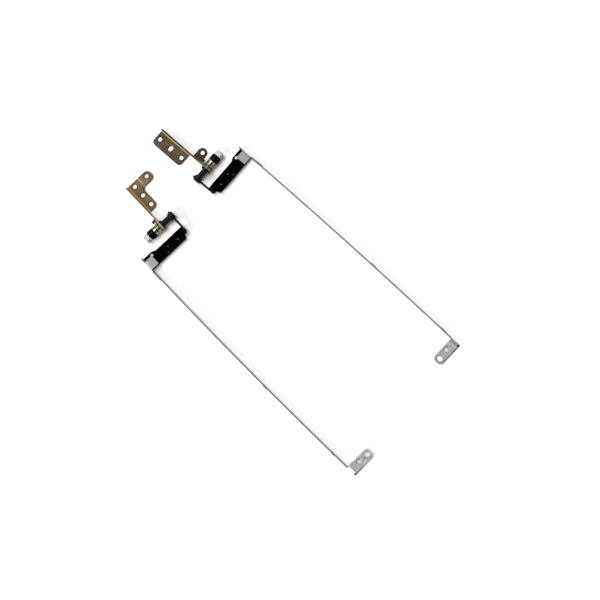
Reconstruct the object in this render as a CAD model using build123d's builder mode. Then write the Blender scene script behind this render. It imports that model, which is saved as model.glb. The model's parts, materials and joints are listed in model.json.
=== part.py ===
from build123d import *
from collections import namedtuple
from math import cos, radians
import os

# A left and a right laptop hinge, opened flat and lying on a table. Sizes are in millimetres.
# X runs along the hinge axes, Y from the axes towards the end tabs of the arms, Z up from the table.

# Where each hinge lies: the point of the table under its axis, at the outer face of its base flange
left_x = -34.765
left_y = -90.526
right_x = 18.466
right_y = -88.381
right_turn = -5.74      # degrees that the right hinge lies turned against the left one

# Fits
run_gap = 0.05          # between pieces that turn against each other
seat_gap = 0.02         # between pieces that are clamped together

# Base brackets, folded from steel sheet
axis_height = 6.5       # hinge axis above the table
base_sheet = 1.0
base_fold = 0.5         # inner radius of the folds
base_eye = 4.2          # radius of the flange's rounded end round the shaft
base_neck = 8.0         # distance from the axis at which the flange is down to its web
base_web = 5.0          # height of the flange along the plate
base_hole = 3.2         # diameter of the screw holes

# Left base plate: three screw holes in a row, and an ear on the other side of the flange
left_near = 16.7        # from the axis to the plate's near edge
left_length = 26.6
left_width = 12.2
left_corner = 3.0
left_hole_end = 3.2     # from either end of the plate to its end holes
left_hole_in = 6.75     # from the flange's outer face to the row of holes
left_slot = 4.3         # length of the slotted middle hole
ear_along = 10.8         # from the axis to the ear's hole
ear_out = 6.0           # from the flange's outer face to the ear's hole
ear_radius = 3.5

# Right base plate: three screw holes in a row, and a foot with a fourth hole beyond a joggle
right_near = 13.3
right_length = 24.0
right_width = 9.0
right_corner = 3.2
right_hole_near = 4.0   # from the plate's near edge to the first hole
right_hole_far = 2.9    # from the last hole to the plate's far edge
right_hole_in = 5.5
foot_reach = 20.9       # from the flange's outer face to the foot's end
foot_width = 8.0
foot_corner = 3.6
foot_hole_in = 16.8
foot_hole_back = 3.2    # from the plate's far edge to the foot's hole
joggle_in = 10.6        # from the flange's outer face to the joggle
joggle_run = 1.0
joggle_step = 0.6
foot_fillet = 2.6       # inner corner between plate and foot

# Friction plate and the lug of the base bracket that keeps it from turning
friction_sheet = 1.1
friction_radius = 3.8
tail_length = 7.0       # from the axis to the end of the forked tail
tail_width = 4.2
lug_along = 5.7         # from the axis to the middle of the lug
lug_depth = 1.8
lug_width = 1.6
lug_length = 3.0        # how far the lug stands out of the flange
lug_drop = 0.8          # middle of the lug below the axis
lug_gap = 0.1

# Shaft
journal_radius = 2.2    # runs in the base flange and the friction plate
drive_radius = 2.0      # double-D section and thread
drive_flats = 3.0
collar_radius = 3.6
collar_length = 1.5
collar_slope = 0.7
barrel_radius = 2.25
barrel_length = 6.05
shoulder_radius = 3.1
shoulder_length = 1.6
tenon_radius = 2.4      # riveted through the display flange
head_radius = 3.0
head_length = 1.2
head_round = 0.5
thread_stub = 0.4       # thread that stands out of the nut

# Friction pack, from the friction plate outward
washer_radius = 3.5
washer_thickness = 2.45
washer_edge = 0.3
spring_count = 4
spring_radius = 3.7
spring_bore = 2.15      # radius of the disc springs' hole
spring_sheet = 1.05
spring_rise = 0.45      # height of the cone
end_washer_radius = 3.4
end_washer_thickness = 0.6
nut_flats = 6.0
nut_height = 2.65
nut_chamfer = 0.35

# Screen arm: a strip on edge with a folded tab at each end
arm_out = 26.45          # from the base flange's outer face to the strip's outer face
arm_sheet = 0.8
arm_height = 6.0
arm_fold = 1.0
arm_near = 7.1          # from the axis to the strip's near end
bow_start = 29.1        # from the axis to where the strip's bow begins
left_bow = 2.2         # degrees that the left strip bows inward up to its end tab
right_bow = 2.96
near_tab_along = 10.7
near_tab_width = 7.4
near_tab_reach = 7.2
near_tab_corner = 0.8
left_tab_along = 211.1  # from the axis to the end tab, where the strip is straight again
right_tab_along = 216.7
end_tab_width = 8.0
end_tab_reach = 20.4
end_tab_corner = 3.0
end_hole_back = 3.0     # from the tab's edge on the hinge side to its first hole
end_hole_in = 8.9       # from the strip's outer face to the first hole
end_hole = 3.0
end_hole_2_back = 3.7
end_hole_2_in = 16.85
end_hole_2 = 4.0
screw_hole = 2.2        # diameter of the holes for the panel's side screws
emboss_along = 23.3     # pressed boss round the first side screw
emboss_length = 8.7
emboss_height = 4.0
emboss_rise = 0.8
burr_alongs = (134.6, 202.6)    # drawn collars round the other side screws
burr_radius = 1.7
burr_rise = 0.7

# Display bracket, folded from steel sheet
display_sheet = 1.4
display_fold = 0.5
display_near = 9.8     # from the axis to the plate's near edge
display_far = 18.7      # from the axis to the plate's far edge
wide_near = 8.4         # near edge of the wider stretch beside the strip
wide_reach = 8.4        # length of that stretch
wide_slope = 2.6
notch_width = 4.6       # corner cut away beside the flange
notch_depth = 3.0
notch_slope = 1.6
notch_round = 1.2
display_eye = 4.0       # radius of the flange's rounded end round the shaft
display_web = 4.0       # height of the flange at the plate
display_round = 2.0
wide_round = 3.0        # corners of the wider stretch
fold_corner = 1.9       # rounded corner of the plate at the end of its fold
slot_hole = 2.4         # screw hole partly under the strip's near tab
slot_hole_in = 7.35      # from the strip's outer face
slot_hole_along = 10.5
pip_radius = 0.8        # half-pierced locating pips
pip_rise = 0.35
pip_places = ((-2.4, 14.9), (6.1, 13.6), (8.6, 17.0))    # outward of the base flange, along the arm

# Stations along the shaft, measured outward from the base flange's outer face
collar_face = -base_sheet - run_gap
collar_back = collar_face - collar_length
shoulder_face = collar_back - barrel_length
display_face = shoulder_face - shoulder_length
display_back = display_face - display_sheet
head_end = display_back - head_length
washer_starts = (friction_sheet + run_gap, friction_sheet + run_gap + washer_thickness + seat_gap)
spring_start = washer_starts[1] + washer_thickness + seat_gap
spring_pitch = spring_sheet + seat_gap
end_washer_start = spring_start + spring_count * spring_pitch + spring_rise
nut_start = end_washer_start + end_washer_thickness + seat_gap
thread_end = nut_start + nut_height + thread_stub

# Rows of screw holes in the base plates, measured from the axis
left_hole_first = left_near + left_hole_end
left_hole_pitch = left_length / 2 - left_hole_end
right_hole_first = right_near + right_hole_near
right_hole_pitch = (right_length - right_hole_near - right_hole_far) / 2

# Heights of the display plate, which lies under the strip's near tab
display_top = arm_height - arm_sheet
display_bottom = display_top - display_sheet

# A hinge has its name, its side (1 for right, -1 for left), the plane it lies in,
# its arm's bow and the place of its end tab
Hinge = namedtuple("Hinge", "name side lie bow tab_along")
left_lie = Plane((left_x, left_y, 0))
right_lie = Plane((right_x, right_y, 0)).rotated((0, 0, right_turn))
left = Hinge("left", -1, left_lie, left_bow, left_tab_along)
right = Hinge("right", 1, right_lie, right_bow, right_tab_along)


def level(lie, side, height=0.0):
    """Plane along the table: x points outward from the pair's middle, y towards the end tab."""
    return Plane(lie.origin + lie.z_dir * height, x_dir=lie.x_dir * side, z_dir=lie.z_dir * side)


def across(lie, side, outward):
    """Plane square to the shaft and centred on it: x points to the end tab, y up."""
    origin = lie.origin + lie.x_dir * side * outward + lie.z_dir * axis_height
    return Plane(origin, x_dir=lie.y_dir, z_dir=lie.x_dir)


def end_on(lie, side, along, height=0.0):
    """Plane square to the arm: x points outward, y up, at a distance from the axis."""
    origin = lie.origin + lie.y_dir * along + lie.z_dir * height
    return Plane(origin, x_dir=lie.x_dir * side, z_dir=lie.y_dir * -side)


def shaft_axis(hinge):
    """The hinge axis, pointing outward."""
    plane = end_on(hinge.lie, hinge.side, 0, axis_height)
    return Axis(plane.origin, plane.x_dir)


def fold_edge(part, hinge, outward, along, height):
    """The straight edge of a fold that runs along the arm, nearest to the given place."""
    place = level(hinge.lie, hinge.side).from_local_coords((outward, along, hinge.side * height))
    return part.edges().filter_by(Axis(place, hinge.lie.y_dir)).sort_by_distance(place)[0]


def write(part, hinge, name):
    """Names a finished piece after its hinge and writes it."""
    part.label = f"{hinge.name}_{name}"
    export_step(part, f"parts/{part.label}.step")


def flange_outline(plane, near):
    """Upright flange of a base bracket, from the plate's near edge to its round eye, with the bore."""
    with BuildSketch(plane) as outline:
        with BuildLine():
            CenterArc((0, 0), base_eye, 0, 360)
            Line((-base_neck, -axis_height), (-base_neck, base_web - axis_height))
        make_hull()
        with Locations((-(base_neck + near) / 2, base_web / 2 - axis_height)):
            Rectangle(near - base_neck, base_web)
        Circle(journal_radius + run_gap, mode=Mode.SUBTRACT)
    return outline.sketch


def web_outline(plane, near, length):
    """Upright part of the flange that stands along the plate."""
    with BuildSketch(plane) as outline:
        with Locations((-near - length / 2, base_web / 2 - axis_height)):
            Rectangle(length, base_web)
    return outline.sketch


def lug_outline(plane, gap=0.0):
    """Lug that stands out of a base flange, with a gap round it for the fork that holds on to it."""
    with BuildSketch(plane) as outline:
        with Locations((-lug_along, -lug_drop)):
            Rectangle(lug_depth + 2 * gap, lug_width + 2 * gap)
    return outline.sketch


def drive_outline(plane, gap=0.0):
    """Double-D section of the shaft, with a gap round it for the bores that fit on it."""
    with BuildSketch(plane) as outline:
        Circle(drive_radius + gap)
        Rectangle(2 * (drive_radius + gap), drive_flats + 2 * gap, mode=Mode.INTERSECT)
    return outline.sketch


def make_left_base(hinge):
    """Plate with a row of three holes, the flange on its outer edge and the ear beyond the flange."""
    side = hinge.side
    far = left_near + left_length
    table = level(hinge.lie, side)
    face = across(hinge.lie, side, 0)
    with BuildPart() as base_bracket:
        with BuildSketch(table):
            with Locations((-left_width / 2, -(left_near + far) / 2)):
                outline = Rectangle(left_width, left_length)
            fillet(outline.vertices().group_by(Axis.X)[0], left_corner)
        extrude(amount=side * base_sheet)
        extrude(web_outline(face, left_near, left_length), amount=-side * base_sheet)
        inner = fold_edge(base_bracket, hinge, -base_sheet, -far + left_length / 2, base_sheet)
        fillet(inner, base_fold)
        outer = fold_edge(base_bracket, hinge, 0, -far + left_length / 2, 0)
        fillet(outer, base_fold + base_sheet)
        extrude(flange_outline(face, left_near), amount=-side * base_sheet)
        extrude(lug_outline(face), amount=side * lug_length)
        with BuildSketch(table):
            with Locations((ear_out / 2 - base_sheet / 2, -ear_along)):
                Rectangle(ear_out + base_sheet, 2 * ear_radius)
            with Locations((ear_out, -ear_along)):
                Circle(ear_radius)
        extrude(amount=side * base_sheet)
        inner = fold_edge(base_bracket, hinge, 0, -ear_along, base_sheet)
        fillet(inner, base_fold)
        with BuildSketch(table):
            for step in (0, 2):
                with Locations((-left_hole_in, -left_hole_first - step * left_hole_pitch)):
                    Circle(base_hole / 2)
            with Locations((-left_hole_in, -left_hole_first - left_hole_pitch)):
                SlotOverall(left_slot, base_hole)
            with Locations((ear_out, -ear_along)):
                Circle(base_hole / 2)
        extrude(amount=side * base_sheet, mode=Mode.SUBTRACT)
    write(base_bracket.part, hinge, "base_bracket")


def make_right_base(hinge):
    """Plate with a row of three holes, the flange on its outer edge and a joggled foot at its far end."""
    side = hinge.side
    far = right_near + right_length
    table = level(hinge.lie, side)
    face = across(hinge.lie, side, 0)
    foot_inner = right_width - foot_fillet
    with BuildPart() as base_bracket:
        with BuildSketch(end_on(hinge.lie, side, -far)):
            with BuildLine():
                Polyline(
                    (-foot_inner, 0),
                    (-joggle_in, 0),
                    (-joggle_in - joggle_run, joggle_step),
                    (-foot_reach, joggle_step),
                    (-foot_reach, joggle_step + base_sheet),
                    (-joggle_in - joggle_run, joggle_step + base_sheet),
                    (-joggle_in, base_sheet),
                    (-foot_inner, base_sheet),
                    close=True,
                )
            make_face()
        extrude(amount=-side * foot_width)
        outward = Axis(table.origin, table.x_dir)
        fillet(base_bracket.edges().filter_by(Axis.Z).sort_by(outward)[:2], foot_corner)
        with BuildSketch(table):
            with Locations((-right_width / 2, -(right_near + far) / 2)):
                plate = Rectangle(right_width, right_length)
            near_corner = plate.vertices().group_by(Axis.X)[0].sort_by(Axis.Y)[-1]
            fillet(near_corner, right_corner)
            with BuildLine():
                corner = (-right_width, -far + foot_width)
                arc = RadiusArc(
                    (corner[0] - foot_fillet, corner[1]),
                    (corner[0], corner[1] + foot_fillet),
                    -foot_fillet,
                )
                Polyline(arc @ 0, corner, arc @ 1)
            make_face()
        extrude(amount=side * base_sheet)
        extrude(web_outline(face, right_near, right_length), amount=-side * base_sheet)
        inner = fold_edge(base_bracket, hinge, -base_sheet, -far + right_length / 2, base_sheet)
        fillet(inner, base_fold)
        outer = fold_edge(base_bracket, hinge, 0, -far + right_length / 2, 0)
        fillet(outer, base_fold + base_sheet)
        extrude(flange_outline(face, right_near), amount=-side * base_sheet)
        extrude(lug_outline(face), amount=side * lug_length)
        with BuildSketch(table):
            for step in range(3):
                with Locations((-right_hole_in, -right_hole_first - step * right_hole_pitch)):
                    Circle(base_hole / 2)
            with Locations((-foot_hole_in, -far + foot_hole_back)):
                Circle(base_hole / 2)
        extrude(amount=side * (base_sheet + joggle_step), mode=Mode.SUBTRACT)
    write(base_bracket.part, hinge, "base_bracket")


def make_friction_plate(hinge):
    """Ring on the journal with a forked tail that straddles the lug of the base flange."""
    face = across(hinge.lie, hinge.side, 0)
    with BuildPart() as friction_plate:
        with BuildSketch(face):
            Circle(friction_radius)
            with Locations((-tail_length / 2, -lug_drop)):
                Rectangle(tail_length, tail_width)
            with Locations((-tail_length + (tail_length - lug_along) / 2, -lug_drop)):
                Rectangle(tail_length - lug_along, lug_width + 2 * lug_gap, mode=Mode.SUBTRACT)
            Circle(journal_radius + run_gap, mode=Mode.SUBTRACT)
        extrude(amount=hinge.side * friction_sheet)
        extrude(lug_outline(face, lug_gap), amount=hinge.side * friction_sheet, mode=Mode.SUBTRACT)
    write(friction_plate.part, hinge, "friction_plate")


def make_shaft(hinge):
    """Turned shaft: riveted head, shoulder, barrel, collar, journal and the double-D drive with its thread."""
    with BuildPart() as shaft:
        with BuildSketch(end_on(hinge.lie, hinge.side, 0, axis_height)):
            with BuildLine():
                Polyline(
                    (head_end, 0),
                    (head_end, head_radius - head_round),
                    (head_end + head_round, head_radius),
                    (display_back, head_radius),
                    (display_back, tenon_radius),
                    (display_face, tenon_radius),
                    (display_face, shoulder_radius),
                    (shoulder_face, shoulder_radius),
                    (shoulder_face, barrel_radius),
                    (collar_back - collar_slope, barrel_radius),
                    (collar_back, collar_radius),
                    (collar_face, collar_radius),
                    (collar_face, journal_radius),
                    (friction_sheet, journal_radius),
                    (friction_sheet, drive_radius),
                    (thread_end, drive_radius),
                    (thread_end, 0),
                    close=True,
                )
            make_face()
        revolve(axis=shaft_axis(hinge))
        with BuildSketch(across(hinge.lie, hinge.side, friction_sheet)):
            Circle(journal_radius)
            add(drive_outline(Plane.XY), mode=Mode.SUBTRACT)
        extrude(amount=hinge.side * (thread_end - friction_sheet), mode=Mode.SUBTRACT)
    write(shaft.part, hinge, "shaft")


def make_washer(hinge, start, radius, thickness, name):
    """Flat washer with a double-D bore, so that it turns with the shaft."""
    plane = across(hinge.lie, hinge.side, start)
    with BuildPart() as washer:
        with BuildSketch(plane):
            Circle(radius)
        extrude(amount=hinge.side * thickness)
        chamfer(washer.edges(), min(washer_edge, thickness / 4))
        extrude(drive_outline(plane, run_gap), amount=hinge.side * thickness, mode=Mode.SUBTRACT)
    write(washer.part, hinge, name)


def make_disc_spring(hinge, number):
    """One conical spring washer; the four nest in each other."""
    start = spring_start + number * spring_pitch
    end = start + spring_sheet
    with BuildPart() as disc_spring:
        with BuildSketch(end_on(hinge.lie, hinge.side, 0, axis_height)):
            with BuildLine():
                Polyline(
                    (start + spring_rise, spring_bore),
                    (start, spring_radius),
                    (end, spring_radius),
                    (end + spring_rise, spring_bore),
                    close=True,
                )
            make_face()
        revolve(axis=shaft_axis(hinge))
    write(disc_spring.part, hinge, f"disc_spring_{number + 1}")


def make_nut(hinge):
    """Hexagon nut with turned corners, on the shaft's thread."""
    corner_radius = nut_flats / 2 / cos(radians(30))
    with BuildPart() as nut:
        with BuildSketch(across(hinge.lie, hinge.side, nut_start)):
            RegularPolygon(nut_flats / 2, 6, major_radius=False)
            Circle(drive_radius + seat_gap, mode=Mode.SUBTRACT)
        extrude(amount=hinge.side * nut_height)
        with BuildSketch(end_on(hinge.lie, hinge.side, 0, axis_height)):
            with BuildLine():
                Polyline(
                    (nut_start, 0),
                    (nut_start, corner_radius - nut_chamfer),
                    (nut_start + nut_chamfer / 2, corner_radius),
                    (nut_start + nut_height - nut_chamfer / 2, corner_radius),
                    (nut_start + nut_height, corner_radius - nut_chamfer),
                    (nut_start + nut_height, 0),
                    close=True,
                )
            make_face()
        revolve(axis=shaft_axis(hinge), mode=Mode.INTERSECT)
    write(nut.part, hinge, "nut")


def make_display_bracket(hinge):
    """Plate under the strip's near tab, with a flange folded up at its inner end and riveted to the shaft."""
    side = hinge.side
    outer = arm_out - arm_sheet - seat_gap
    flange_end = display_far - notch_depth
    flange_middle = (display_near + flange_end) / 2
    foot = display_bottom - axis_height
    with BuildPart() as display_bracket:
        with BuildSketch(level(hinge.lie, side, display_bottom)):
            with BuildLine():
                Polyline(
                    (outer, wide_near),
                    (outer - wide_reach, wide_near),
                    (outer - wide_reach - wide_slope, display_near),
                    (display_back, display_near),
                    (display_back, flange_end),
                    (display_back + notch_width - notch_slope, flange_end),
                    (display_back + notch_width, display_far),
                    (outer, display_far),
                    close=True,
                )
            plate = make_face()
            step_corners = [
                plate.vertices().sort_by_distance((outer - wide_reach, wide_near))[0],
                plate.vertices().sort_by_distance((outer - wide_reach - wide_slope, display_near))[0],
            ]
            notch_corner = plate.vertices().sort_by_distance((display_back + notch_width, display_far))[0]
            fillet(step_corners, wide_round)
            fillet(notch_corner, notch_round)
        extrude(amount=side * display_sheet)
        with BuildSketch(across(hinge.lie, side, display_back)):
            with BuildLine():
                Polyline(
                    (display_near, foot),
                    (flange_end, foot),
                    (flange_end, foot + display_web - display_round),
                    (flange_end - display_round, foot + display_web),
                    (display_near, foot + display_web),
                    close=True,
                )
            make_face()
        extrude(amount=side * display_sheet)
        fold = fold_edge(display_bracket, hinge, display_face, flange_middle, display_top)
        fillet(fold, display_fold)
        fold = fold_edge(display_bracket, hinge, display_back, flange_middle, display_bottom)
        fillet(fold, display_fold + display_sheet)
        with BuildSketch(end_on(hinge.lie, side, wide_near)):
            with BuildLine():
                clear = arm_fold + seat_gap
                Polyline(
                    (outer, display_top),
                    (outer - clear, display_top),
                    (outer, display_top - clear),
                    close=True,
                )
            make_face()
        extrude(amount=-side * (display_far - wide_near), mode=Mode.SUBTRACT)
        with BuildSketch(across(hinge.lie, side, display_back)):
            with BuildLine():
                CenterArc((0, 0), display_eye, 0, 360)
                Line((display_near, foot + display_fold + display_sheet), (display_near, foot + display_web))
            make_hull()
        extrude(amount=side * display_sheet)
        with BuildSketch(level(hinge.lie, side)):
            with Locations((display_back + fold_corner / 2, flange_end - fold_corner / 2)):
                Rectangle(fold_corner, fold_corner)
            with Locations((display_back + fold_corner, flange_end - fold_corner)):
                Circle(fold_corner, mode=Mode.SUBTRACT)
        extrude(amount=side * (display_bottom + display_web), mode=Mode.SUBTRACT)
        with BuildSketch(across(hinge.lie, side, display_back)):
            Circle(tenon_radius + seat_gap)
        extrude(amount=side * display_sheet, mode=Mode.SUBTRACT)
        with BuildSketch(level(hinge.lie, side, display_bottom)):
            with Locations((arm_out - slot_hole_in, slot_hole_along)):
                Circle(slot_hole / 2)
        extrude(amount=side * display_sheet, mode=Mode.SUBTRACT)
        with BuildSketch(level(hinge.lie, side, display_top)):
            with Locations(*pip_places):
                Circle(pip_radius)
        extrude(amount=side * pip_rise, taper=30)
    write(display_bracket.part, hinge, "display_bracket")


def bow_radius(hinge):
    """Radius of the bowed strip's outer face."""
    return (hinge.tab_along - bow_start) / radians(hinge.bow)


def bowed_lie(hinge, along):
    """Plane in which the bowed strip lies at one place, with distances still counted from the hinge axis."""
    centre_out = arm_out - bow_radius(hinge)
    centre = level(hinge.lie, hinge.side).from_local_coords((centre_out, bow_start, 0))
    turn = hinge.bow * (along - bow_start) / (hinge.tab_along - bow_start)
    turned = Plane(centre, x_dir=hinge.lie.x_dir, z_dir=hinge.lie.z_dir).rotated((0, 0, hinge.side * turn))
    origin = centre - turned.x_dir * hinge.side * centre_out - turned.y_dir * along
    return Plane(origin, x_dir=turned.x_dir, z_dir=turned.z_dir)


def tab_outline(plane, reach):
    """Section of the strip where a tab is folded inward from its top edge."""
    with BuildSketch(plane) as outline:
        with BuildLine():
            FilletPolyline(
                (arm_out, 0),
                (arm_out, arm_height),
                (arm_out - reach, arm_height),
                radius=arm_fold + arm_sheet,
            )
            offset(amount=arm_sheet, side=Side.LEFT)
        make_face()
    return outline.sketch


def make_screen_arm(hinge):
    """Strip on edge, slightly bowed, with its two tabs, the pressed boss and the side screw holes."""
    side = hinge.side
    near = hinge.lie
    far = bowed_lie(hinge, hinge.tab_along)
    middle = arm_height / 2 - axis_height
    fold = arm_fold + arm_sheet
    tabs = (
        (near, near_tab_along, near_tab_width, near_tab_reach),
        (far, hinge.tab_along, end_tab_width, end_tab_reach),
    )
    with BuildPart() as screen_arm:
        with BuildSketch(level(near, side)):
            with BuildLine():
                radius = bow_radius(hinge)
                centre = (arm_out - radius, bow_start)
                outer = CenterArc(centre, radius, 0, hinge.bow)
                inner = CenterArc(centre, radius - arm_sheet, 0, hinge.bow)
                Polyline(outer @ 0, (arm_out, arm_near), (arm_out - arm_sheet, arm_near), inner @ 0)
                outer_end = outer @ 1 + (outer % 1) * end_tab_width
                inner_end = inner @ 1 + (inner % 1) * end_tab_width
                Polyline(outer @ 1, outer_end, inner_end, inner @ 1)
            make_face()
        extrude(amount=side * arm_height)
        for lie, along, width, reach in tabs:
            with BuildSketch(level(lie, side, arm_height)):
                with Locations((arm_out - arm_sheet / 2, along + width / 2)):
                    Rectangle(arm_sheet, width)
            extrude(amount=-side * fold, mode=Mode.SUBTRACT)
            extrude(tab_outline(end_on(lie, side, along), reach), amount=-side * width)
        for along in (near_tab_along, near_tab_along + near_tab_width):
            corner = level(near, side).from_local_coords((arm_out - near_tab_reach, along, side * arm_height))
            fillet(screen_arm.edges().filter_by(Axis.Z).sort_by_distance(corner)[0], near_tab_corner)
        outward = Axis(far.origin, far.x_dir * side)
        fillet(screen_arm.edges().filter_by(Axis.Z).sort_by(outward)[:2], end_tab_corner)
        with BuildSketch(level(far, side, arm_height)):
            with Locations((arm_out - end_hole_in, hinge.tab_along + end_hole_back)):
                Circle(end_hole / 2)
            with Locations((arm_out - end_hole_2_in, hinge.tab_along + end_hole_2_back)):
                Circle(end_hole_2 / 2)
        extrude(amount=-side * arm_sheet, mode=Mode.SUBTRACT)
        with BuildSketch(across(near, side, arm_out)):
            with Locations((emboss_along, middle)):
                SlotOverall(emboss_length, emboss_height)
        extrude(amount=side * emboss_rise)
        with BuildSketch(across(near, side, arm_out - arm_sheet)):
            with Locations((emboss_along, middle)):
                SlotOverall(emboss_length - 2 * arm_sheet, emboss_height - 2 * arm_sheet)
        extrude(amount=side * emboss_rise, mode=Mode.SUBTRACT)
        with BuildSketch(across(near, side, arm_out)):
            with Locations((emboss_along, middle)):
                Circle(screw_hole / 2)
        extrude(amount=side * emboss_rise, mode=Mode.SUBTRACT)
        for along in burr_alongs:
            collar = across(bowed_lie(hinge, along), side, arm_out - arm_sheet / 2)
            with BuildSketch(collar):
                with Locations((along, middle)):
                    Circle(burr_radius)
            extrude(amount=side * (burr_rise + arm_sheet / 2))
            with BuildSketch(collar):
                with Locations((along, middle)):
                    Circle(screw_hole / 2)
            extrude(amount=burr_rise + arm_sheet, both=True, mode=Mode.SUBTRACT)
    write(screen_arm.part, hinge, "screen_arm")


os.makedirs("parts", exist_ok=True)
make_left_base(left)
make_right_base(right)
for hinge in (left, right):
    make_friction_plate(hinge)
    make_shaft(hinge)
    make_washer(hinge, washer_starts[0], washer_radius, washer_thickness, "inner_washer")
    make_washer(hinge, washer_starts[1], washer_radius, washer_thickness, "outer_washer")
    for number in range(spring_count):
        make_disc_spring(hinge, number)
    make_washer(hinge, end_washer_start, end_washer_radius, end_washer_thickness, "end_washer")
    make_nut(hinge)
    make_display_bracket(hinge)
    make_screen_arm(hinge)
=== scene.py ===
import json
import math

import bpy
import numpy as np
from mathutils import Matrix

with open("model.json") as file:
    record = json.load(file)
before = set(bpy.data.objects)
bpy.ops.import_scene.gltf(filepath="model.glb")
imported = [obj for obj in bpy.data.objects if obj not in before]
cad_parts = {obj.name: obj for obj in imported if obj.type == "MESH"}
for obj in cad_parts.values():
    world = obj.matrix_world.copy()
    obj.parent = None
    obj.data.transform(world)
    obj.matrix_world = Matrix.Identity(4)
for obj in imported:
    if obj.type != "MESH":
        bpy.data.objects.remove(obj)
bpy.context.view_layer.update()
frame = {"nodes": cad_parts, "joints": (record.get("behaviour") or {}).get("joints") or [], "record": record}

# Base brackets: two stampings of 1 mm steel, folded up into a flange that carries the shaft.
# Their plating is a thin bronze-brown film over the rolled sheet, darker on the left one. It has
# gone dark round the holes and along the sheared outline. A pale line along the inner fold is a
# painted highlight, and so are the pale glints on the right one's joggle crease.


class Value:
    """A number, colour or vector from a socket; arithmetic on it adds Math nodes to its tree."""

    def __init__(self, nodes, socket):
        self.nodes = nodes
        self.socket = socket

    def math(self, operation, first, second=0.0):
        return self.nodes.node("ShaderNodeMath", {"operation": operation}, {0: first, 1: second})

    def __add__(self, other):
        return self.math("ADD", self, other)

    def __sub__(self, other):
        return self.math("SUBTRACT", self, other)

    def __rsub__(self, other):
        return self.math("SUBTRACT", other, self)

    def __mul__(self, other):
        return self.math("MULTIPLY", self, other)

    __radd__ = __add__
    __rmul__ = __mul__

    def __abs__(self):
        return self.math("ABSOLUTE", self)

    def most(self, other):
        return self.math("MAXIMUM", self, other)

    def root(self):
        return self.math("SQRT", self)

    def rise(self, low, high):
        """0 up to low and 1 from high on, smooth between; it falls where low is the larger."""
        ends = {"Value": self, "From Min": low, "From Max": high}
        return self.nodes.node("ShaderNodeMapRange", {"interpolation_type": "SMOOTHSTEP"}, ends)


class Nodes:
    """A node tree: node() adds any node, with its settings first and then its sockets."""

    def __init__(self, tree):
        self.tree = tree

    def node(self, kind, settings, values, output=0):
        made = self.tree.nodes.new(kind)
        for key, value in settings.items():
            setattr(made, key, value)
        for key, value in values.items():
            self.feed(made.inputs[key], value)
        return Value(self, made.outputs[output])

    def feed(self, socket, value):
        if isinstance(value, Value):
            self.tree.links.new(value.socket, socket)
        else:
            socket.default_value = value

    def vector(self, operation, first, second, output=0):
        values = {0: first, 1: second}
        return self.node("ShaderNodeVectorMath", {"operation": operation}, values, output)


class Finish(Nodes):
    """A material: constants go straight onto its shader, and patterns lie on Object coordinates."""

    def __init__(self, name, constants):
        self.material = bpy.data.materials.new(name)
        self.material.use_nodes = True
        super().__init__(self.material.node_tree)
        self.shader = self.tree.nodes["Principled BSDF"]
        for socket, value in constants.items():
            self.shader.inputs[socket].default_value = value
        self.place = self.node("ShaderNodeTexCoord", {}, {}, "Object")

    def noise(self, scale, detail=2.0, stretch=(1.0, 1.0, 1.0)):
        """Cloudy noise; scale is in spots per metre and stretch multiplies it along x, y and z."""
        spot = self.vector("MULTIPLY", self.place, stretch)
        values = {"Vector": spot, "Scale": scale, "Detail": detail}
        return self.node("ShaderNodeTexNoise", {}, values)

    def along(self, origin, direction):
        """Millimetres from a point along a direction."""
        step = self.vector("SUBTRACT", self.place, tuple(origin))
        return self.vector("DOT_PRODUCT", step, tuple(1000.0 * np.array(direction)), "Value")

    def turned(self, direction):
        """How far the surface faces a direction: 1 straight at it, 0 side on."""
        facing = self.node("ShaderNodeTexCoord", {}, {}, "Normal")
        return self.vector("DOT_PRODUCT", facing, tuple(direction), "Value")

    def away(self, centre):
        """Millimetres from an upright line through a point."""
        flat = self.vector("MULTIPLY", self.place, (1000.0, 1000.0, 0.0))
        foot = (1000.0 * centre[0], 1000.0 * centre[1], 0.0)
        return self.vector("DISTANCE", flat, foot, "Value")

    def mix(self, first, second, share):
        values = {0: share, 6: first, 7: second}
        return self.node("ShaderNodeMix", {"data_type": "RGBA"}, values, 2)

    def relief(self, height, distance, strength=1.0):
        """Bump from a height of 0 to 1 over a distance in metres."""
        values = {"Strength": strength, "Distance": distance, "Height": height}
        self.feed(self.shader.inputs["Normal"], self.node("ShaderNodeBump", {}, values))

    def show(self, colour, roughness):
        self.feed(self.shader.inputs["Base Color"], colour)
        self.feed(self.shader.inputs["Roughness"], roughness)


def tint(red, green, blue):
    """A colour written as it shows, 0 to 255, brought to the linear scale of the shader."""
    shown = np.array([red, green, blue]) / 255.0
    linear = np.where(shown <= 0.04045, shown / 12.92, ((shown + 0.055) / 1.055) ** 2.4)
    return (*linear.tolist(), 1.0)


def dress(node, finish):
    """Gives a piece its finish."""
    for slot in frame["nodes"][node].material_slots:
        slot.material = finish.material


up = (0.0, 0.0, 1.0)
mounts = {mount["name"]: mount for mount in frame["record"]["mounts"]}
hinges = {}
for joint in frame["joints"]:
    side = joint["name"].split("_")[0]
    shaft_way = np.array(joint["axis"], float)
    axis_point = np.array(joint["pos_m"])
    outward = shaft_way if side == "right" else -shaft_way
    hinges[side] = (axis_point, outward, np.cross(up, shaft_way))

base_holes = {
    "left": ("left_ear_hole",),
    "right": ("right_base_hole_1", "right_base_hole_2", "right_base_hole_3", "right_foot_hole"),
}
base_hole_radius = 1.6
hole_rim_mm = (1.0, 0.3)
base_sheet_mm = 1.0
past_flange = 12.0
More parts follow.
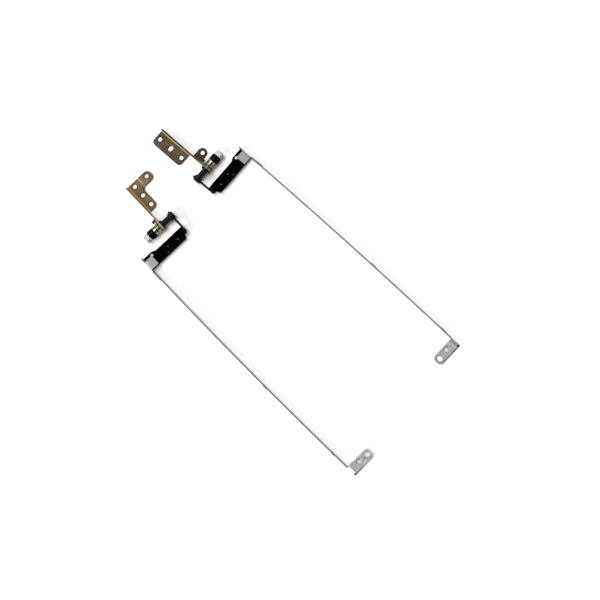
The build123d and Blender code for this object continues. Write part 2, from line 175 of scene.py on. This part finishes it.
# Each plate has its reach outward, its reach lengthwise and its corner radius, from the axis in mm.
plate_outlines = {
    "left": (
        ((-12.2, past_flange), (-43.3, -16.7), 3.0),
        ((-past_flange, 9.5), (-14.3, -7.3), 3.5),
    ),
    "right": (
        ((-9.0, past_flange), (-37.3, -13.3), 3.2),
        ((-20.9, past_flange), (-37.3, -29.3), 3.6),
    ),
}
edge_start_mm = 0.2
edge_end_mm = 0.9
flange_inner_mm = (-0.1, 0.0)
flange_outer_mm = (0.15, 0.05)
fold_highlight_begins_mm = (-0.85, -0.6)
fold_highlight_ends_mm = (0.0, -0.2)
beside_flange_mm = (-5.0, -2.0)
ear_mm = (0.2, 0.8)
joggle_begins_mm = (-11.9, -11.5)
joggle_ends_mm = (-10.5, -11.0)
joggle_glint_mm = (-31.0, -34.5)
eye_reach_mm = (-13.0, -6.0)
plating_tints = {
    "left": {
        "body": tint(74, 59, 38),
        "cloud": tint(93, 78, 55),
        "beside_flange": tint(89, 68, 33),
        "blush": tint(88, 58, 42),
        "rim": tint(32, 23, 15),
        "fold": tint(206, 182, 142),
        "top": tint(58, 46, 29),
        "pale": tint(136, 114, 87),
    },
    "right": {
        "body": tint(106, 88, 58),
        "cloud": tint(119, 101, 77),
        "beside_flange": tint(122, 93, 62),
        "blush": tint(124, 90, 66),
        "rim": tint(56, 43, 31),
        "fold": tint(206, 176, 138),
        "top": tint(112, 88, 63),
        "pale": tint(176, 151, 131),
    },
}
rolled_stretch = (1.0, 0.12, 1.0)
upright_stretch = (1.0, 1.0, 0.0)
for side, tints in plating_tints.items():
    axis_point, outward, lengthwise = hinges[side]
    plating = Finish(side + "_base_plating", {"Metallic": 0.35, "Specular IOR Level": 0.2})
    across = plating.along(axis_point, outward)
    run = plating.along(axis_point, lengthwise)
    clouds = plating.noise(scale=170.0, detail=3.0)
    blotches = plating.noise(scale=260.0, detail=2.0, stretch=upright_stretch)
    grain = plating.noise(scale=5200.0, detail=3.0)
    rolled = plating.noise(scale=900.0, detail=3.0, stretch=rolled_stretch)
    centres = [mounts[name]["pos_m"] for name in base_holes[side]]
    if side == "left":
        middle = mounts["left_base_screws"]["pos_m"]
        pitch = 0.0005 * mounts["left_base_screws"]["dims"]["spacing_y_mm"]
        centres += [(middle[0], middle[1] + step * pitch) for step in (-1, 0, 1)]
    rim_ends = [base_hole_radius + reach for reach in hole_rim_mm]
    rim = 0.0
    for centre in centres:
        rim = plating.away(centre).rise(*rim_ends).most(rim)
    inside = 0.0
    for (low_out, high_out), (low_run, high_run), corner in plate_outlines[side]:
        past_out = abs(across - 0.5 * (low_out + high_out)) - (0.5 * (high_out - low_out) - corner)
        past_run = abs(run - 0.5 * (low_run + high_run)) - (0.5 * (high_run - low_run) - corner)
        past_out = past_out.most(0.0)
        past_run = past_run.most(0.0)
        reach = (past_out * past_out + past_run * past_run).root()
        inside = reach.rise(corner - edge_start_mm, corner - edge_end_mm).most(inside)
    from_inner = across + base_sheet_mm
    on_flange = from_inner.rise(*flange_inner_mm) * across.rise(*flange_outer_mm)
    # Painted highlight: a pale line along the inner fold.
    fold = from_inner.rise(*fold_highlight_begins_mm) * from_inner.rise(*fold_highlight_ends_mm)
    ear = across.rise(*ear_mm)
    dark_edge = rim.most((1.0 - inside) * (1.0 - on_flange))
    colour = plating.mix(tints["body"], tints["cloud"], clouds.rise(0.38, 0.64))
    colour = plating.mix(colour, tints["beside_flange"], across.rise(*beside_flange_mm) * 0.55)
    colour = plating.mix(colour, tints["blush"], blotches.rise(0.52, 0.7) * 0.55)
    colour = plating.mix(colour, tints["rim"], rolled.rise(0.5, 0.75) * 0.22)
    colour = plating.mix(colour, tints["rim"], ear * 0.5)
    colour = plating.mix(colour, tints["rim"], dark_edge * 0.85)
    colour = plating.mix(colour, tints["fold"], fold * grain.rise(0.15, 0.45) * 0.85)
    flange = plating.mix(tints["top"], tints["pale"], run.rise(*eye_reach_mm) * 0.75)
    colour = plating.mix(colour, flange, on_flange)
    if side == "right":
        # Painted highlight: pale glints broken along the right plate's joggle crease.
        crease = across.rise(*joggle_begins_mm) * across.rise(*joggle_ends_mm)
        crease_glint = run.rise(*joggle_glint_mm).most(blotches.rise(0.46, 0.56))
        colour = plating.mix(colour, tints["pale"], crease * crease_glint * 0.8)
    plating.show(colour, 0.42 + grain * 0.14)
    plating.relief(grain * 0.6 + rolled * 0.4, distance=0.00004, strength=0.6)
    dress(side + "_base_bracket", plating)

# Friction plates: an oiled bronze ring on each journal, with a forked tail over the bracket's lug.
# They are blanked and tumbled, so their faces are dark and even and their rims a little paler.

bronze_dark = tint(50, 38, 27)
bronze_pale = tint(112, 91, 69)
for side, (axis_point, outward, lengthwise) in hinges.items():
    bronze = Finish(side + "_friction_bronze", {"Metallic": 0.7})
    smear = bronze.noise(scale=420.0, detail=3.0)
    pores = bronze.noise(scale=6500.0, detail=2.0)
    face = abs(bronze.turned(outward)).rise(0.6, 0.9)
    oiled = (smear.rise(0.38, 0.58) * 0.85).most(face * 0.8)
    bronze.show(bronze.mix(bronze_pale, bronze_dark, oiled), 0.3 + pores * 0.2)
    bronze.relief(pores, distance=0.00003, strength=0.5)
    dress(side + "_friction_plate", bronze)

# Shafts: turned steel pins, blackened and oiled, riveted into the display brackets.
# The lathe leaves fine rings on them, and the black is rubbed through in small specks.

shaft_black = {"left": tint(3, 3, 3), "right": tint(26, 19, 19)}
shaft_gloss = {"left": 0.2, "right": 0.1}
shaft_rubbed = tint(84, 78, 73)
rings_per_mm = 34.0
for side, (axis_point, outward, lengthwise) in hinges.items():
    constants = {"Metallic": 0.0, "Specular IOR Level": shaft_gloss[side]}
    black = Finish(side + "_shaft_black", constants)
    turns = black.along(axis_point, outward) * rings_per_mm
    rings = black.node("ShaderNodeMath", {"operation": "SINE"}, {0: turns})
    soot = black.noise(scale=700.0, detail=3.0)
    specks = black.noise(scale=4200.0, detail=2.0)
    wear_and_glint = specks.rise(0.55, 0.75) * soot.rise(0.45, 0.7)
    black.show(black.mix(shaft_black[side], shaft_rubbed, wear_and_glint * 0.3), 0.1 + soot * 0.1)
    black.relief(rings * 0.5 + specks * 0.5, distance=0.00003, strength=0.5)
    dress(side + "_shaft", black)

# Brass washers: two thick turned washers, keyed to the shaft, that press on the friction plate.
# Their turned faces are still bright in places, and have tarnished to olive in patches.

brass_bright = tint(168, 161, 139)
brass_olive = tint(66, 56, 27)
brass = Finish("washer_brass", {"Metallic": 1.0})
tarnish = brass.noise(scale=520.0, detail=4.0)
scuffs = brass.noise(scale=3800.0, detail=3.0)
colour = brass.mix(brass_bright, brass_olive, tarnish.rise(0.38, 0.58) * 0.85)
brass.show(colour, 0.28 + scuffs.rise(0.4, 0.8) * 0.12)
brass.relief(scuffs, distance=0.00003, strength=0.35)
for side in hinges:
    dress(side + "_inner_washer", brass)
    dress(side + "_outer_washer", brass)

# Disc springs: four conical washers of hardened strip, nested in each other on the shaft.
# They are blackened in oil, which leaves a deep black with a faint grey bloom and fine pits.

spring_black_oil = tint(4, 3, 3)
spring_bloom = tint(24, 21, 20)
spring_black = Finish("spring_steel", {"Metallic": 0.0, "Specular IOR Level": 0.05})
bloom = spring_black.noise(scale=800.0, detail=3.0)
pits = spring_black.noise(scale=5200.0, detail=2.0)
colour = spring_black.mix(spring_black_oil, spring_bloom, bloom.rise(0.5, 0.8) * 0.4)
spring_black.show(colour, 0.22 + pits * 0.16)
spring_black.relief(pits, distance=0.00003, strength=0.4)
for side in hinges:
    for number in (1, 2, 3, 4):
        dress(f"{side}_disc_spring_{number}", spring_black)

# End washers and nuts: bright zinc-plated steel, turned tight on the thread to set the friction.
# The zinc has a faint grey bloom, and the spanner leaves fine scuffs in it.

steel_bright = tint(212, 212, 210)
steel_bloom = tint(160, 161, 161)
bright = Finish("bright_steel", {"Metallic": 0.5})
haze = bright.noise(scale=640.0, detail=3.0)
spanner = bright.noise(scale=2600.0, detail=3.0, stretch=(1.0, 1.0, 0.25))
colour = bright.mix(steel_bright, steel_bloom, haze.rise(0.42, 0.7) * 0.8)
bright.show(colour, 0.24 + spanner.rise(0.4, 0.8) * 0.16)
bright.relief(spanner, distance=0.00004, strength=0.4)
for side in hinges:
    dress(side + "_end_washer", bright)
    dress(side + "_nut", bright)

# Display brackets: 1.4 mm steel plates, folded up at one end into a flange riveted to the shaft.
# They are dipped black, half gloss, thin on the bends; the three pressed pips on each carry a painted
# highlight, a grey glint.

dip_black = tint(1, 1, 2)
dip_thin = tint(30, 29, 28)
pip_glint_grey = tint(158, 157, 152)
# How strong the painted highlight, a grey glint, is on each pip, by its place outward and lengthwise from
# the axis in mm.
pip_glints = {(-2.4, 14.9): 0.55, (6.1, 13.6): 0.3, (8.6, 17.0): 0.25}
pip_glint_mm = (0.7, 0.2)
bend_begins_mm = (-11.8, -11.0)
bend_ends_mm = (-9.0, -10.8)
for side, (axis_point, outward, lengthwise) in hinges.items():
    dip = Finish(side + "_black_dip", {"Metallic": 0.0, "Specular IOR Level": 0.03})
    station = dip.along(axis_point, outward)
    orange_peel = dip.noise(scale=1500.0, detail=3.0)
    dust = dip.noise(scale=5200.0, detail=2.0)
    wear_and_glint = 0.0
    # Painted highlight: a grey glint on each pip, broken up by the dust noise.
    for (out_mm, along_mm), glint_share in pip_glints.items():
        centre = axis_point + 0.001 * (out_mm * outward + along_mm * lengthwise)
        wear_and_glint = (dip.away(centre).rise(*pip_glint_mm) * glint_share).most(wear_and_glint)
    bend = station.rise(*bend_ends_mm) * station.rise(*bend_begins_mm)
    colour = dip.mix(dip_black, dip_thin, bend * 0.7)
    colour = dip.mix(colour, pip_glint_grey, wear_and_glint * dust.rise(0.25, 0.55))
    dip.show(colour, 0.16 + dust * 0.08)
    dip.relief(orange_peel * 0.7 + dust * 0.3, distance=0.00005, strength=0.2)
    dress(side + "_display_bracket", dip)

# Screen arms: long strips of 0.8 mm galvanised steel on edge, with a tab folded over at each end.
# The zinc shows soft spangles and a few dark pits. The guillotined top edges are bare and dark, and
# the punch has rolled the rims of the holes down. The rest of the darkening is painted shade: the
# strip's end faces, a line along each end tab's far edge, the fold's outer corner, the crease of the
# bend and one side of each tab hole's rim. The bend is painted lighter on the right arm and darker
# on the left, as light and shade.

zinc_pale = tint(197, 199, 202)
zinc_grey = tint(154, 158, 161)
zinc_handled = tint(140, 150, 147)
# One grey serves the bare cut edges and the painted shade.
cut_edge_and_shade_grey = tint(54, 55, 55)
corner_shade_black = tint(16, 17, 14)
# Painted light and shade on the bend: pale on the right arm, grey on the left.
bend_light_and_shade_tints = {"left": tint(128, 131, 133), "right": tint(226, 228, 230)}
arm_height_mm = 6.0
near_tab_begins_mm = (10.5, 10.9)
near_tab_ends_mm = (18.3, 17.9)
tab_width = 8.0
tab_hole_back = 3.0
tab_hole_in = 8.9
tab_edge = tab_width - tab_hole_back
tab_begins_mm = (-0.1, 0.1)
fold_depth_mm = (-1.5, -0.9)
top_edge_mm = (-0.08, -0.02)
edge_shade_line_mm = (-1.1, -0.6)
corner_shade_mm = (-2.0, -1.1)
corner_shade_reach_mm = (2.3, 1.3)
bend_mm = 2.2
bend_fade_mm = (0.2, -0.5)
crease_shade_mm = (0.5, 0.1)
pit_mm = (0.8, 0.32)
crescent_shade_ring_mm = (1.0, 0.5)
roll_mm = 0.7
channel_share = 0.333
tab_hole_radii = {"_tab_hole_1": 1.5, "_tab_hole_2": 2.0}
# Places of the pits and the ends of the painted shade line along the far edge are in mm from the tab's first
# hole.
tab_pits = {"left": ((-6.9, 1.4),), "right": ((2.6, 1.7), (4.9, 0.9))}
edge_shade_ends = {"left": (40.0, 12.0), "right": (9.0, -7.0)}
crescent_shade_shares = {"left": (0.85, 0.85), "right": (0.8, 0.3)}
for side, (axis_point, outward, lengthwise) in hinges.items():
    zinc = Finish(side + "_galvanised_steel", {"Metallic": 0.6})
    holes = {name: np.array(mounts[side + name]["pos_m"]) for name in tab_hole_radii}
    first_hole = holes["_tab_hole_1"]
    table_point = np.array((axis_point[0], axis_point[1], 0.0))
    run = zinc.along(table_point, lengthwise)
    height = zinc.along(table_point, up)
    cells = {"Vector": zinc.place, "Scale": 420.0}
    flake = zinc.node("ShaderNodeTexVoronoi", {}, cells, "Color")
    spangle = zinc.vector("DOT_PRODUCT", flake, (channel_share, channel_share, channel_share), "Value")
    clouds = zinc.noise(scale=240.0, detail=3.0)
    frost = zinc.noise(scale=4200.0, detail=3.0)
    inward = -np.array(mounts[side + "_side_hole_3"]["axis"])
    farther = np.cross(up, inward if side == "left" else -inward)
    tab_out = zinc.along(first_hole, inward)
    tab_run = zinc.along(first_hole, farther)
    from_fold = tab_out + tab_hole_in
    from_bend = from_fold - bend_mm
    from_edge = tab_run - tab_edge
    from_top = height - arm_height_mm
    on_end_tab = (tab_run + tab_hole_back).rise(*tab_begins_mm)
    over_fold = on_end_tab * from_top.rise(*fold_depth_mm)
    on_near_tab = run.rise(*near_tab_begins_mm) * run.rise(*near_tab_ends_mm)
    cut = from_top.rise(*top_edge_mm) * (1.0 - on_near_tab) * (1.0 - on_end_tab)
    # Painted shade: faces that look along the strip, its end faces, darkened as if in shadow.
    ends = abs(zinc.turned(lengthwise)).rise(0.75, 0.92)
    # Painted shade: a dark line along the end tab's far edge.
    line = over_fold * from_edge.rise(*edge_shade_line_mm) * tab_out.rise(*edge_shade_ends[side])
    # Painted shade: near black at the fold's outer corner, over the strip's end.
    corner = over_fold * from_edge.rise(*corner_shade_mm) * from_fold.rise(*corner_shade_reach_mm)
    pit = 0.0
    for out_mm, run_mm in tab_pits[side]:
        centre = first_hole + 0.001 * (out_mm * inward + run_mm * farther)
        pit = zinc.away(centre).rise(*pit_mm).most(pit)
    # Painted shade in the crease of the bend.
    crease = abs(from_bend).rise(*crease_shade_mm) * on_end_tab
    # Painted shade: a dark crescent on one side of each tab hole's rim.
    crescent_shade = 0.0
    roll = from_edge.rise(0.0, -roll_mm)
    for (name, radius), share in zip(tab_hole_radii.items(), crescent_shade_shares[side]):
        from_hole = zinc.away(holes[name]) - radius
        rim = from_hole.rise(*crescent_shade_ring_mm)
        crescent_side = zinc.along(holes[name], -farther).rise(0.1 * radius, 0.8 * radius)
        crescent_shade = (crescent_side * rim * share).most(crescent_shade)
        roll = roll * from_hole.rise(0.0, roll_mm)
    # Bare cut top edges and pits, with the painted shade marks, all go towards one grey.
    cut_and_shade = cut.most(ends).most(line).most(pit * 0.8).most(crescent_shade).most(crease * 0.3)
    # Painted light and shade: the bend's band is lighter on the right arm and darker on the left.
    bend_light_and_shade = over_fold * from_bend.rise(*bend_fade_mm)
    paleness = spangle.rise(0.25, 0.75) * 0.5 + clouds.rise(0.35, 0.65) * 0.4
    colour = zinc.mix(zinc_grey, zinc_pale, paleness)
    colour = zinc.mix(colour, zinc_handled, on_near_tab * 0.9)
    colour = zinc.mix(colour, bend_light_and_shade_tints[side], bend_light_and_shade * 0.7)
    colour = zinc.mix(colour, cut_edge_and_shade_grey, cut_and_shade * 0.85)
    colour = zinc.mix(colour, corner_shade_black, corner)
    zinc.show(colour, 0.36 + frost * 0.2)
    zinc.relief(roll + frost * 0.04 + spangle * 0.02, distance=0.0006)
    dress(side + "_screen_arm", zinc)

# The table: one plain sheet of matt white card, wide enough for every view, just under the hinges.
# It looks a little whiter to the eye and in reflections than it is as a source of light.


def seen_rays(nodes):
    """1 for rays from the camera, from gloss and through glass, 0 for those that carry light."""
    seen = nodes.node("ShaderNodeLightPath", {}, {}, "Is Camera Ray")
    for ray in ("Is Glossy Ray", "Is Transmission Ray"):
        seen = seen.most(nodes.node("ShaderNodeLightPath", {}, {}, ray))
    return seen


floor_half = 3.0
floor_drop = 0.00005
floor_white = (0.96, 0.96, 0.96, 1.0)
floor_extra = (0.08, 0.08, 0.08, 1.0)
floor_mesh = bpy.data.meshes.new("table")
edge = np.array([-floor_half, floor_half])
corners = np.stack(np.meshgrid(edge, edge, [-floor_drop], indexing="ij"), -1).reshape(-1, 3)
floor_mesh.from_pydata(corners.tolist(), [], [(0, 2, 3, 1)])
table = bpy.data.objects.new("table", floor_mesh)
bpy.context.scene.collection.objects.link(table)
white = Finish("table_white", {"Roughness": 0.9, "Specular IOR Level": 0.0})
white.feed(white.shader.inputs["Base Color"], floor_white)
paler = white.node("ShaderNodeBsdfDiffuse", {}, {"Color": floor_extra})
shown = white.node("ShaderNodeMixShader", {}, {0: seen_rays(white), 2: paler})
lit = Value(white, white.shader.outputs["BSDF"])
both = white.node("ShaderNodeAddShader", {}, {0: lit, 1: shown})
white.feed(white.tree.nodes["Material Output"].inputs["Surface"], both)
floor_mesh.materials.append(white.material)

# The light: a white studio, with a dark patch overhead that only the eye and reflections see, where
# the camera stands. Three soft lamps: one nearly overhead, kept out of reflections, the main one
# from the upper left of the picture, and a low one from its lower left.

low_side = (0.9848, -0.1736, 0.0)
main_side = (0.0, -1.0, 0.0)
patch_way = (0.0, 0.2079, 0.9781)
patch_ends = (0.98, 0.8)
patch_level = 0.06
room_level = 0.27
room_lean = 0.5
world = bpy.data.worlds.new("studio")
bpy.context.scene.world = world
world.use_nodes = True
studio = Nodes(world.node_tree)
way = studio.node("ShaderNodeTexCoord", {}, {}, "Generated")
room = studio.vector("DOT_PRODUCT", way, patch_way, "Value").rise(*patch_ends)
sided = studio.vector("DOT_PRODUCT", way, low_side, "Value")
seen = seen_rays(studio)
patch = patch_level + room * (1.0 - patch_level)
walls = seen * patch + (1.0 - seen) * (1.0 + sided * room_lean) * room_level
background = world.node_tree.nodes["Background"]
background.inputs["Color"].default_value = (1.0, 1.0, 1.0, 1.0)
studio.feed(background.inputs["Strength"], walls)

# Each lamp has its strength, its elevation and spread in degrees, and the side it shines from.
lamps = {
    "overhead_lamp": (1.4, 84.0, 20.0, main_side),
    "main_lamp": (0.75, 63.0, 14.0, main_side),
    "low_lamp": (1.15, 44.0, 18.0, low_side),
}
for name, (strength, elevation, spread, side_way) in lamps.items():
    lamp = bpy.data.lights.new(name, "SUN")
    lamp.energy = strength
    lamp.angle = math.radians(spread)
    lamp_object = bpy.data.objects.new(name, lamp)
    bpy.context.scene.collection.objects.link(lamp_object)
    lamp_object.visible_glossy = name != "overhead_lamp"
    bearing = math.atan2(side_way[0], -side_way[1])
    lamp_object.rotation_euler = (math.radians(90.0 - elevation), 0.0, bearing)

# The camera: straight above the table, looking down and turned as the picture is.
# Its place and lens are those that fit the outlines of the two hinges best.

camera_place = (-0.006901, 0.020970, 0.690)
camera_turn = math.radians(130.976)
camera_lens = 57.556
camera_data = bpy.data.cameras.new("camera")
camera_data.sensor_width = 36.0
camera_data.lens = camera_lens
camera = bpy.data.objects.new("camera", camera_data)
camera.location = camera_place
camera.rotation_euler = (0.0, 0.0, camera_turn)
bpy.context.scene.collection.objects.link(camera)
bpy.context.scene.camera = camera
bpy.context.scene.view_settings.view_transform = "Standard"
